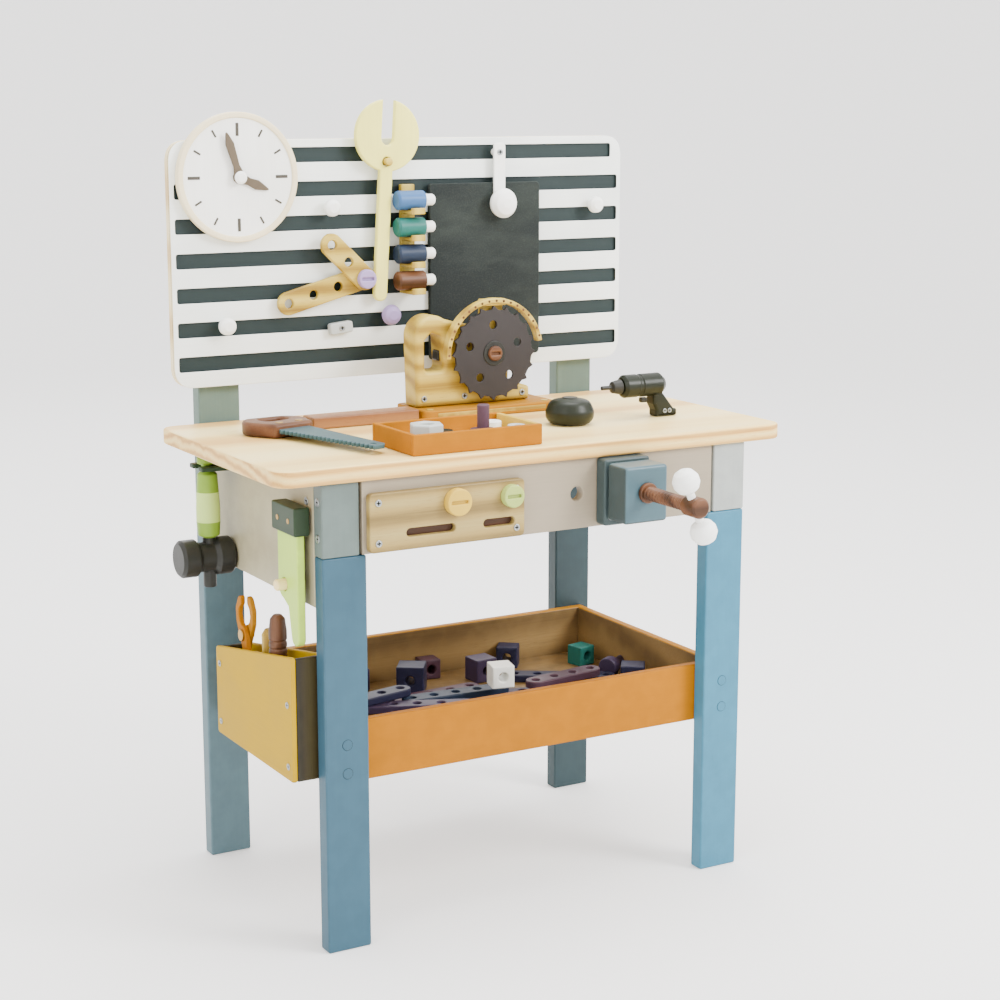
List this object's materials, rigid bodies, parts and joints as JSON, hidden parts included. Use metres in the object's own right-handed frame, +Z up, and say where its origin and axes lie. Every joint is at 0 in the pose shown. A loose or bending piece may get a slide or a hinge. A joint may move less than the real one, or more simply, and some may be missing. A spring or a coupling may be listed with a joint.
{
  "type": "toy workbench",
  "caption": "Child's wooden workbench with a slatted tool panel, clock, chalkboard, vise, lower tray, side pocket and loose toy tools.",
  "frame": {"origin": "middle of the bounding box's footprint, on the floor", "axes": "+Z up, +X to the user's right, +Y from the user towards the back panel"},
  "size_m": [0.578, 0.455, 0.7956],
  "materials": {
    "blue_paint": "satin paint on solid wood boards",
    "post_paint": "satin grey-green paint",
    "light_grey_paint": "satin paint",
    "birch": "clear lacquered light wood with visible grain",
    "panel_paint": "white painted board with dark painted grooves and a natural edge",
    "white_paint": "satin white paint",
    "cream_wood": "clear lacquered pale wood",
    "pale_yellow_paint": "satin pale yellow paint",
    "hand_brown_paint": "satin grey-brown paint",
    "slate": "matt chalkboard paint",
    "orange_paint": "satin orange paint",
    "yellow_paint": "satin yellow paint",
    "green_paint": "satin light green paint",
    "dark_green_paint": "satin dark green paint",
    "teal_paint": "satin dark teal paint",
    "vise_blue_paint": "satin blue-grey paint",
    "brown_wood": "stained brown wood",
    "dark_grey_paint": "satin dark grey paint",
    "olive_paint": "satin olive paint",
    "rack_blue": "satin blue with a white tip",
    "rack_teal": "satin teal with a white tip",
    "rack_navy": "satin navy with a white tip",
    "light_grey_wood": "satin pale grey paint",
    "plum_paint": "satin plum paint",
    "lilac_paint": "satin lilac paint"
  },
  "bodies": {
    "bench": {"front_left_leg": "blue_paint", "front_right_leg": "blue_paint", "rear_left_leg": "blue_paint", "rear_right_leg": "blue_paint", "left_post": "post_paint", "right_post": "post_paint", "front_left_corner_block": "light_grey_paint", "front_right_corner_block": "light_grey_paint", "left_side_board": "light_grey_paint", "right_side_board": "light_grey_paint", "rear_apron": "light_grey_paint", "front_apron": "light_grey_paint", "tabletop": "birch", "lower_tray": "orange_paint", "tool_pocket": "yellow_paint", "back_panel": "panel_paint", "clock_face": "white_paint", "clock_pin": "white_paint", "bolt_rack": "cream_wood", "strip_bolt": "lilac_paint", "apron_strip": "cream_wood", "vise_fixed_jaw": "teal_paint", "hammer_hook": "dark_green_paint"},
    "hour_hand": {"clock_hour_hand": "hand_brown_paint"},
    "minute_hand": {"clock_minute_hand": "hand_brown_paint"},
    "chalkboard": {"chalkboard": "slate", "chalkboard_strap": "white_paint", "chalkboard_knob": "white_paint"},
    "spanner": {"spanner": "pale_yellow_paint"},
    "bolt_blue": {"rack_bolt_blue": "rack_blue"},
    "bolt_teal": {"rack_bolt_teal": "rack_teal"},
    "bolt_navy": {"rack_bolt_navy": "rack_navy"},
    "bolt_brown": {"rack_bolt_brown": "brown_wood"},
    "strip_long": {"perforated_strip_long": "cream_wood"},
    "strip_short": {"perforated_strip_short": "cream_wood"},
    "apron_bolt_yellow": {"apron_bolt_yellow": "yellow_paint"},
    "apron_bolt_green": {"apron_bolt_green": "green_paint"},
    "vise_jaw": {"vise_moving_jaw": "vise_blue_paint"},
    "vise_screw": {"vise_screw": "brown_wood"},
    "vise_bar": {"vise_bar": "white_paint"},
    "saw": {"saw_base": "orange_paint", "saw_body": "cream_wood", "saw_guard": "cream_wood"},
    "saw_blade": {"saw_blade": "dark_grey_paint"},
    "parts_tray": {"parts_tray": "orange_paint"},
    "loose_nut": {"loose_nut": "light_grey_wood"},
    "loose_bolt": {"loose_bolt": "plum_paint"},
    "plank": {"plank": "birch"},
    "hand_saw": {"handsaw_blade": "teal_paint", "handsaw_handle": "brown_wood"},
    "drill": {"drill_body": "olive_paint"},
    "drill_trigger": {"drill_trigger": "dark_grey_paint"},
    "drill_chuck": {"drill_chuck": "dark_grey_paint"},
    "table_bolt": {"table_bolt": "olive_paint"},
    "hammer": {"hammer_head": "dark_grey_paint", "hammer_handle": "green_paint"},
    "try_square": {"try_square": "green_paint"},
    "pliers": {"pliers_front_half": "orange_paint"},
    "pliers_jaw": {"pliers_rear_half": "orange_paint"},
    "screwdriver": {"screwdriver": "brown_wood"}
  },
  "joints": [
    {"name": "hour_hand_turn", "type": "hinge", "parent": "bench", "child": "hour_hand", "pos_m": [-0.19, 0.1905, 0.719], "axis": [0, 1, 0], "continuous": true},
    {"name": "minute_hand_turn", "type": "hinge", "parent": "bench", "child": "minute_hand", "pos_m": [-0.19, 0.1905, 0.719], "axis": [0, 1, 0], "continuous": true},
    {"name": "chalkboard_pull_off", "type": "slide", "parent": "bench", "child": "chalkboard", "axis": [0, -1, 0], "range_m": [0, 0.012]},
    {"name": "spanner_pull_off", "type": "slide", "parent": "bench", "child": "spanner", "axis": [0, -1, 0], "range_m": [0, 0.015]},
    {"name": "bolt_blue_lift", "type": "slide", "parent": "bench", "child": "bolt_blue", "axis": [0, 0, 1], "range_m": [0, 0.003]},
    {"name": "bolt_teal_lift", "type": "slide", "parent": "bench", "child": "bolt_teal", "axis": [0, 0, 1], "range_m": [0, 0.003]},
    {"name": "bolt_navy_lift", "type": "slide", "parent": "bench", "child": "bolt_navy", "axis": [0, 0, 1], "range_m": [0, 0.003]},
    {"name": "bolt_brown_lift", "type": "slide", "parent": "bench", "child": "bolt_brown", "axis": [0, 0, 1], "range_m": [0, 0.003]},
    {"name": "strip_long_swing", "type": "hinge", "parent": "bench", "child": "strip_long", "pos_m": [-0.054, 0.1855, 0.612], "axis": [0, 1, 0], "range_deg": [-20, 20]},
    {"name": "strip_short_swing", "type": "hinge", "parent": "bench", "child": "strip_short", "pos_m": [-0.054, 0.1855, 0.612], "axis": [0, 1, 0], "range_deg": [-25, 20]},
    {"name": "apron_bolt_yellow_turn", "type": "hinge", "parent": "bench", "child": "apron_bolt_yellow", "pos_m": [-0.097, -0.0845, 0.427], "axis": [0, -1, 0], "continuous": true},
    {"name": "apron_bolt_green_turn", "type": "hinge", "parent": "bench", "child": "apron_bolt_green", "pos_m": [-0.038, -0.0845, 0.427], "axis": [0, -1, 0], "continuous": true},
    {"name": "vise_jaw_slide", "type": "slide", "parent": "bench", "child": "vise_jaw", "axis": [0, -1, 0], "range_m": [0, 0.025]},
    {"name": "vise_screw_turn", "type": "hinge", "parent": "vise_jaw", "child": "vise_screw", "pos_m": [0.09, -0.1845, 0.424], "axis": [0, -1, 0], "range_deg": [0, 1800]},
    {"name": "vise_bar_slide", "type": "slide", "parent": "vise_screw", "child": "vise_bar", "axis": [-0.3907, 0, 0.9205], "range_m": [-0.004, 0.004]},
    {"name": "saw_lift", "type": "slide", "parent": "bench", "child": "saw", "axis": [0, 0, 1], "range_m": [0, 0.06]},
    {"name": "saw_blade_spin", "type": "hinge", "parent": "saw", "child": "saw_blade", "pos_m": [0.062, 0.1145, 0.534], "axis": [0, 1, 0], "continuous": true},
    {"name": "parts_tray_lift", "type": "slide", "parent": "bench", "child": "parts_tray", "axis": [0, 0, 1], "range_m": [0, 0.05]},
    {"name": "loose_nut_lift", "type": "slide", "parent": "parts_tray", "child": "loose_nut", "axis": [0, 0, 1], "range_m": [0, 0.03]},
    {"name": "loose_bolt_lift", "type": "slide", "parent": "parts_tray", "child": "loose_bolt", "axis": [0, 0, 1], "range_m": [0, 0.03]},
    {"name": "plank_lift", "type": "slide", "parent": "bench", "child": "plank", "axis": [0, 0, 1], "range_m": [0, 0.04]},
    {"name": "hand_saw_lift", "type": "slide", "parent": "bench", "child": "hand_saw", "axis": [0, 0, 1], "range_m": [0, 0.05]},
    {"name": "drill_lift", "type": "slide", "parent": "bench", "child": "drill", "axis": [0, 0, 1], "range_m": [0, 0.05]},
    {"name": "drill_trigger_press", "type": "slide", "parent": "drill", "child": "drill_trigger", "axis": [1, 0, 0], "range_m": [0, 0.003], "stiffness_N_per_m": 200},
    {"name": "drill_chuck_spin", "type": "hinge", "parent": "drill", "child": "drill_chuck", "pos_m": [0.156, 0.0135, 0.504], "axis": [1, 0, 0], "continuous": true},
    {"name": "table_bolt_lift", "type": "slide", "parent": "bench", "child": "table_bolt", "axis": [0, 0, 1], "range_m": [0, 0.035]},
    {"name": "hammer_unhook", "type": "slide", "parent": "bench", "child": "hammer", "axis": [-1, 0, 0], "range_m": [0, 0.03]},
    {"name": "try_square_unhook", "type": "slide", "parent": "bench", "child": "try_square", "axis": [-1, 0, 0], "range_m": [0, 0.024]},
    {"name": "pliers_lift", "type": "slide", "parent": "bench", "child": "pliers", "axis": [0, 0, 1], "range_m": [0, 0.11]},
    {"name": "pliers_open", "type": "hinge", "parent": "pliers", "child": "pliers_jaw", "pos_m": [-0.241, 0.0755, 0.278], "axis": [1, 0, 0], "range_deg": [0, 8]},
    {"name": "screwdriver_lift", "type": "slide", "parent": "bench", "child": "screwdriver", "axis": [0, 0, 1], "range_m": [0, 0.11]}
  ],
  "couplings": [
    {"joint": "vise_jaw_slide", "follows": "vise_screw_turn", "m_per_rad": 0.00079577}
  ]
}
